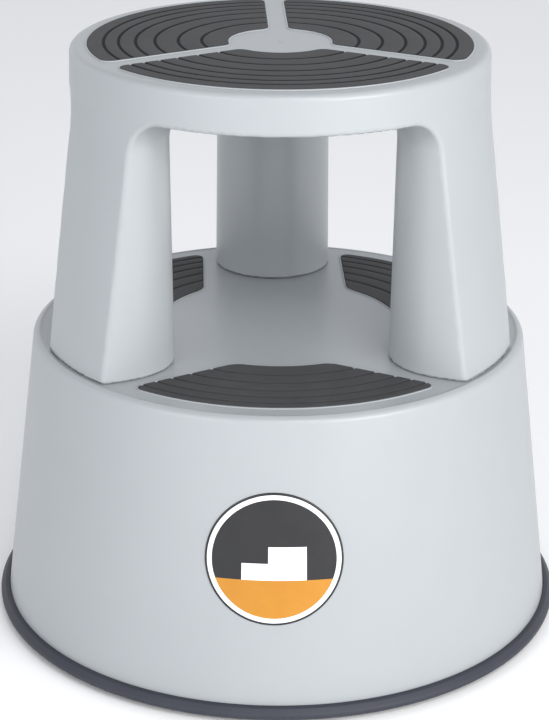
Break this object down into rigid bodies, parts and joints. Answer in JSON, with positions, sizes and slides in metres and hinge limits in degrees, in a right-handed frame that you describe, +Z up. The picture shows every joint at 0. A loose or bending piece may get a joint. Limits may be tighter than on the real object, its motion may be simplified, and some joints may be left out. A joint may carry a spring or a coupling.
{
  "type": "kick step stool",
  "caption": "Round rolling kick step stool: open three-legged upper step on a wide conical base, ribbed tread pads, rubber foot ring and hidden sprung castors.",
  "frame": {"origin": "on the floor under the middle of the stool, wheels touching the floor at z = 0", "axes": "+Z up, +Y towards the rear leg, -Y towards the front step pad and the label"},
  "size_m": [0.426, 0.426, 0.43],
  "materials": {
    "shell_plastic": "light bluish grey, fine moulded texture, low sheen",
    "pad_rubber": "dark grey ribbed tread, matt",
    "ring_rubber": "dark blue-grey, smooth, dull",
    "label_print": "printed film label without text",
    "castor_plastic": "black moulded plastic",
    "wheel_plastic": "dark grey hard plastic",
    "zinc_steel": "bright zinc plated"
  },
  "bodies": {
    "stool": {"upper_shell": "shell_plastic", "base_shell": "shell_plastic", "base_ring": "ring_rubber", "front_label": "label_print", "top_pad_front": "pad_rubber", "step_pad_front": "pad_rubber", "top_pad_right": "pad_rubber", "step_pad_right": "pad_rubber", "top_pad_left": "pad_rubber", "step_pad_left": "pad_rubber", "castor_rear_housing": "castor_plastic", "castor_rear_screw_1": "zinc_steel", "castor_rear_screw_2": "zinc_steel", "castor_rear_spring": "zinc_steel", "castor_left_housing": "castor_plastic", "castor_left_screw_1": "zinc_steel", "castor_left_screw_2": "zinc_steel", "castor_left_spring": "zinc_steel", "castor_right_housing": "castor_plastic", "castor_right_screw_1": "zinc_steel", "castor_right_screw_2": "zinc_steel", "castor_right_spring": "zinc_steel"},
    "rear_stem": {"castor_rear_stem": "zinc_steel", "castor_rear_clip": "zinc_steel"},
    "rear_fork": {"castor_rear_fork": "castor_plastic", "castor_rear_axle": "zinc_steel"},
    "rear_wheel_1": {"castor_rear_wheel_1": "wheel_plastic"},
    "rear_wheel_2": {"castor_rear_wheel_2": "wheel_plastic"},
    "left_stem": {"castor_left_stem": "zinc_steel", "castor_left_clip": "zinc_steel"},
    "left_fork": {"castor_left_fork": "castor_plastic", "castor_left_axle": "zinc_steel"},
    "left_wheel_1": {"castor_left_wheel_1": "wheel_plastic"},
    "left_wheel_2": {"castor_left_wheel_2": "wheel_plastic"},
    "right_stem": {"castor_right_stem": "zinc_steel", "castor_right_clip": "zinc_steel"},
    "right_fork": {"castor_right_fork": "castor_plastic", "castor_right_axle": "zinc_steel"},
    "right_wheel_1": {"castor_right_wheel_1": "wheel_plastic"},
    "right_wheel_2": {"castor_right_wheel_2": "wheel_plastic"}
  },
  "joints": [
    {"name": "rear_castor_travel", "type": "slide", "parent": "stool", "child": "rear_stem", "axis": [0, 0, 1], "range_m": [0, 0.006], "stiffness_N_per_m": 3000, "springref_m": -0.006, "deforming": ["castor_rear_spring"]},
    {"name": "rear_castor_swivel", "type": "hinge", "parent": "rear_stem", "child": "rear_fork", "pos_m": [0, 0.14, 0.044], "axis": [0, 0, 1], "continuous": true},
    {"name": "rear_wheel_1_spin", "type": "hinge", "parent": "rear_fork", "child": "rear_wheel_1", "pos_m": [0, 0.154, 0.02], "axis": [-1, 0, 0], "continuous": true},
    {"name": "rear_wheel_2_spin", "type": "hinge", "parent": "rear_fork", "child": "rear_wheel_2", "pos_m": [0, 0.154, 0.02], "axis": [-1, 0, 0], "continuous": true},
    {"name": "left_castor_travel", "type": "slide", "parent": "stool", "child": "left_stem", "axis": [0, 0, 1], "range_m": [0, 0.006], "stiffness_N_per_m": 3000, "springref_m": -0.006, "deforming": ["castor_left_spring"]},
    {"name": "left_castor_swivel", "type": "hinge", "parent": "left_stem", "child": "left_fork", "pos_m": [-0.12124, -0.07, 0.044], "axis": [0, 0, 1], "continuous": true},
    {"name": "left_wheel_1_spin", "type": "hinge", "parent": "left_fork", "child": "left_wheel_1", "pos_m": [-0.13337, -0.077, 0.02], "axis": [0.5, -0.866, 0], "continuous": true},
    {"name": "left_wheel_2_spin", "type": "hinge", "parent": "left_fork", "child": "left_wheel_2", "pos_m": [-0.13337, -0.077, 0.02], "axis": [0.5, -0.866, 0], "continuous": true},
    {"name": "right_castor_travel", "type": "slide", "parent": "stool", "child": "right_stem", "axis": [0, 0, 1], "range_m": [0, 0.006], "stiffness_N_per_m": 3000, "springref_m": -0.006, "deforming": ["castor_right_spring"]},
    {"name": "right_castor_swivel", "type": "hinge", "parent": "right_stem", "child": "right_fork", "pos_m": [0.12124, -0.07, 0.044], "axis": [0, 0, 1], "continuous": true},
    {"name": "right_wheel_1_spin", "type": "hinge", "parent": "right_fork", "child": "right_wheel_1", "pos_m": [0.13337, -0.077, 0.02], "axis": [0.5, 0.866, 0], "continuous": true},
    {"name": "right_wheel_2_spin", "type": "hinge", "parent": "right_fork", "child": "right_wheel_2", "pos_m": [0.13337, -0.077, 0.02], "axis": [0.5, 0.866, 0], "continuous": true}
  ]
}
